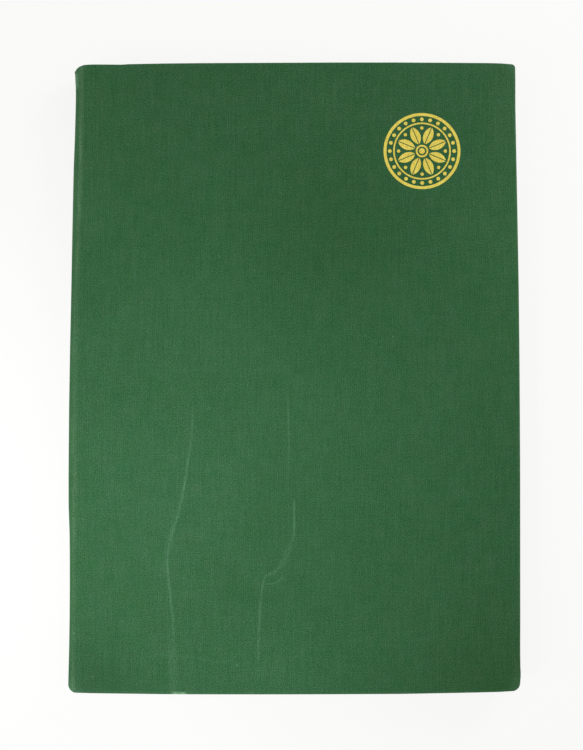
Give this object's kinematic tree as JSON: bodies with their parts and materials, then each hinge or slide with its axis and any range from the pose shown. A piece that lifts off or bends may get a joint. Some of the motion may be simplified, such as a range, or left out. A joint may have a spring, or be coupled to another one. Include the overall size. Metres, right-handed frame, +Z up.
{
  "type": "stamp album",
  "caption": "Cloth-covered hardback stamp stock book with hinged covers, card leaves on linen guards, glassine pocket strips and a gold rosette on the front.",
  "frame": {"origin": "middle of the footprint of the closed album, on the outer face of the back cover", "axes": "+Z up through the front cover, +Y towards the head of the book, +X towards the fore-edge; the spine is at -X"},
  "size_m": [0.226, 0.318, 0.0221],
  "materials": {
    "book_cloth": "green woven book cloth, matte with a slight thread sheen",
    "greyboard": "grey pulp board",
    "endpaper": "uncoated off-white endpaper",
    "gold_foil": "matte blocked foil",
    "kraft_paper": "kraft lining paper",
    "mull_gauze": "open cotton gauze, glued",
    "cotton_tape": "flat woven cotton tape",
    "linen_thread": "waxed linen thread",
    "stub_card": "folded card stubs",
    "headband_cloth": "woven band, two colours",
    "page_card": "off-white leaf card",
    "linen_guard": "fine linen hinge strip",
    "glassine_strip": "clear glazed glassine",
    "glassine_sheet": "translucent glassine"
  },
  "bodies": {
    "back_cover": {"back_board": "greyboard", "back_cover_cloth": "book_cloth", "back_pastedown": "endpaper"},
    "spine": {"spine_strip": "greyboard", "spine_cloth": "book_cloth", "front_joint_cloth": "book_cloth", "back_joint_cloth": "book_cloth", "spine_lining": "kraft_paper", "mull": "mull_gauze", "sewing_tapes": "cotton_tape", "sewing_thread": "linen_thread", "compensation_stubs": "stub_card", "headband": "headband_cloth", "tailband": "headband_cloth"},
    "front_cover": {"front_board": "greyboard", "front_cover_cloth": "book_cloth", "front_pastedown": "endpaper", "cover_ornament": "gold_foil"},
    "front_flyleaf": {"front_flyleaf": "endpaper"},
    "interleaf_1": {"interleaf_1": "glassine_sheet"},
    "leaf_1": {"leaf_1_card": "page_card", "leaf_1_guard": "linen_guard", "leaf_1_pockets": "glassine_strip"},
    "interleaf_2": {"interleaf_2": "glassine_sheet"},
    "leaf_2": {"leaf_2_card": "page_card", "leaf_2_guard": "linen_guard", "leaf_2_pockets": "glassine_strip"},
    "interleaf_3": {"interleaf_3": "glassine_sheet"},
    "leaf_3": {"leaf_3_card": "page_card", "leaf_3_guard": "linen_guard", "leaf_3_pockets": "glassine_strip"},
    "interleaf_4": {"interleaf_4": "glassine_sheet"},
    "leaf_4": {"leaf_4_card": "page_card", "leaf_4_guard": "linen_guard", "leaf_4_pockets": "glassine_strip"},
    "interleaf_5": {"interleaf_5": "glassine_sheet"},
    "leaf_5": {"leaf_5_card": "page_card", "leaf_5_guard": "linen_guard", "leaf_5_pockets": "glassine_strip"},
    "interleaf_6": {"interleaf_6": "glassine_sheet"},
    "leaf_6": {"leaf_6_card": "page_card", "leaf_6_guard": "linen_guard", "leaf_6_pockets": "glassine_strip"},
    "interleaf_7": {"interleaf_7": "glassine_sheet"},
    "leaf_7": {"leaf_7_card": "page_card", "leaf_7_guard": "linen_guard", "leaf_7_pockets": "glassine_strip"},
    "interleaf_8": {"interleaf_8": "glassine_sheet"},
    "leaf_8": {"leaf_8_card": "page_card", "leaf_8_guard": "linen_guard", "leaf_8_pockets": "glassine_strip"},
    "back_flyleaf": {"back_flyleaf": "endpaper"}
  },
  "joints": [
    {"name": "spine_hinge", "type": "hinge", "parent": "back_cover", "child": "spine", "pos_m": [-0.11192, 0, 0.00108], "axis": [0, -1, 0], "range_deg": [0, 90], "deforming": ["back_joint_cloth"]},
    {"name": "front_cover_hinge", "type": "hinge", "parent": "spine", "child": "front_cover", "pos_m": [-0.11192, 0, 0.02092], "axis": [0, -1, 0], "range_deg": [0, 90], "deforming": ["front_joint_cloth"]},
    {"name": "front_flyleaf_turn", "type": "hinge", "parent": "spine", "child": "front_flyleaf", "pos_m": [-0.1095, 0, 0.0183], "axis": [0, -1, 0], "range_deg": [0, 86.4]},
    {"name": "interleaf_1_turn", "type": "hinge", "parent": "spine", "child": "interleaf_1", "pos_m": [-0.1037, 0, 0.01805], "axis": [0, -1, 0], "range_deg": [0, 83]},
    {"name": "leaf_1_turn", "type": "hinge", "parent": "spine", "child": "leaf_1", "pos_m": [-0.1037, 0, 0.01717], "axis": [0, -1, 0], "range_deg": [0, 68]},
    {"name": "interleaf_2_turn", "type": "hinge", "parent": "spine", "child": "interleaf_2", "pos_m": [-0.1037, 0, 0.01629], "axis": [0, -1, 0], "range_deg": [0, 62]},
    {"name": "leaf_2_turn", "type": "hinge", "parent": "spine", "child": "leaf_2", "pos_m": [-0.1037, 0, 0.01541], "axis": [0, -1, 0], "range_deg": [0, 56]},
    {"name": "interleaf_3_turn", "type": "hinge", "parent": "spine", "child": "interleaf_3", "pos_m": [-0.1037, 0, 0.01452], "axis": [0, -1, 0], "range_deg": [0, 49.5]},
    {"name": "leaf_3_turn", "type": "hinge", "parent": "spine", "child": "leaf_3", "pos_m": [-0.1037, 0, 0.01364], "axis": [0, -1, 0], "range_deg": [0, 43]},
    {"name": "interleaf_4_turn", "type": "hinge", "parent": "spine", "child": "interleaf_4", "pos_m": [-0.1037, 0, 0.01276], "axis": [0, -1, 0], "range_deg": [0, 36.5]},
    {"name": "leaf_4_turn", "type": "hinge", "parent": "spine", "child": "leaf_4", "pos_m": [-0.1037, 0, 0.01188], "axis": [0, -1, 0], "range_deg": [0, 30]},
    {"name": "interleaf_5_turn", "type": "hinge", "parent": "spine", "child": "interleaf_5", "pos_m": [-0.1037, 0, 0.011], "axis": [0, 1, 0], "range_deg": [0, 20]},
    {"name": "leaf_5_turn", "type": "hinge", "parent": "spine", "child": "leaf_5", "pos_m": [-0.1037, 0, 0.01012], "axis": [0, 1, 0], "range_deg": [0, 30]},
    {"name": "interleaf_6_turn", "type": "hinge", "parent": "spine", "child": "interleaf_6", "pos_m": [-0.1037, 0, 0.00924], "axis": [0, 1, 0], "range_deg": [0, 36.5]},
    {"name": "leaf_6_turn", "type": "hinge", "parent": "spine", "child": "leaf_6", "pos_m": [-0.1037, 0, 0.00836], "axis": [0, 1, 0], "range_deg": [0, 43]},
    {"name": "interleaf_7_turn", "type": "hinge", "parent": "spine", "child": "interleaf_7", "pos_m": [-0.1037, 0, 0.00747], "axis": [0, 1, 0], "range_deg": [0, 49.5]},
    {"name": "leaf_7_turn", "type": "hinge", "parent": "spine", "child": "leaf_7", "pos_m": [-0.1037, 0, 0.00659], "axis": [0, 1, 0], "range_deg": [0, 56]},
    {"name": "interleaf_8_turn", "type": "hinge", "parent": "spine", "child": "interleaf_8", "pos_m": [-0.1037, 0, 0.00571], "axis": [0, 1, 0], "range_deg": [0, 62]},
    {"name": "leaf_8_turn", "type": "hinge", "parent": "spine", "child": "leaf_8", "pos_m": [-0.1037, 0, 0.00483], "axis": [0, 1, 0], "range_deg": [0, 68]},
    {"name": "back_flyleaf_turn", "type": "hinge", "parent": "spine", "child": "back_flyleaf", "pos_m": [-0.1095, 0, 0.0037], "axis": [0, 1, 0], "range_deg": [0, 86.4]}
  ],
  "couplings": [
    {"joint": "front_flyleaf_turn", "follows": "front_cover_hinge", "ratio": 0.96},
    {"joint": "interleaf_1_turn", "follows": "front_cover_hinge", "ratio": 0.92222},
    {"joint": "leaf_1_turn", "follows": "front_cover_hinge", "ratio": 0.75556},
    {"joint": "interleaf_2_turn", "follows": "front_cover_hinge", "ratio": 0.68889},
    {"joint": "leaf_2_turn", "follows": "front_cover_hinge", "ratio": 0.62222},
    {"joint": "interleaf_3_turn", "follows": "front_cover_hinge", "ratio": 0.55},
    {"joint": "leaf_3_turn", "follows": "front_cover_hinge", "ratio": 0.47778},
    {"joint": "interleaf_4_turn", "follows": "front_cover_hinge", "ratio": 0.40556},
    {"joint": "leaf_4_turn", "follows": "front_cover_hinge", "ratio": 0.33333},
    {"joint": "interleaf_5_turn", "follows": "spine_hinge", "ratio": 0.22222},
    {"joint": "leaf_5_turn", "follows": "spine_hinge", "ratio": 0.33333},
    {"joint": "interleaf_6_turn", "follows": "spine_hinge", "ratio": 0.40556},
    {"joint": "leaf_6_turn", "follows": "spine_hinge", "ratio": 0.47778},
    {"joint": "interleaf_7_turn", "follows": "spine_hinge", "ratio": 0.55},
    {"joint": "leaf_7_turn", "follows": "spine_hinge", "ratio": 0.62222},
    {"joint": "interleaf_8_turn", "follows": "spine_hinge", "ratio": 0.68889},
    {"joint": "leaf_8_turn", "follows": "spine_hinge", "ratio": 0.75556},
    {"joint": "back_flyleaf_turn", "follows": "spine_hinge", "ratio": 0.96}
  ]
}
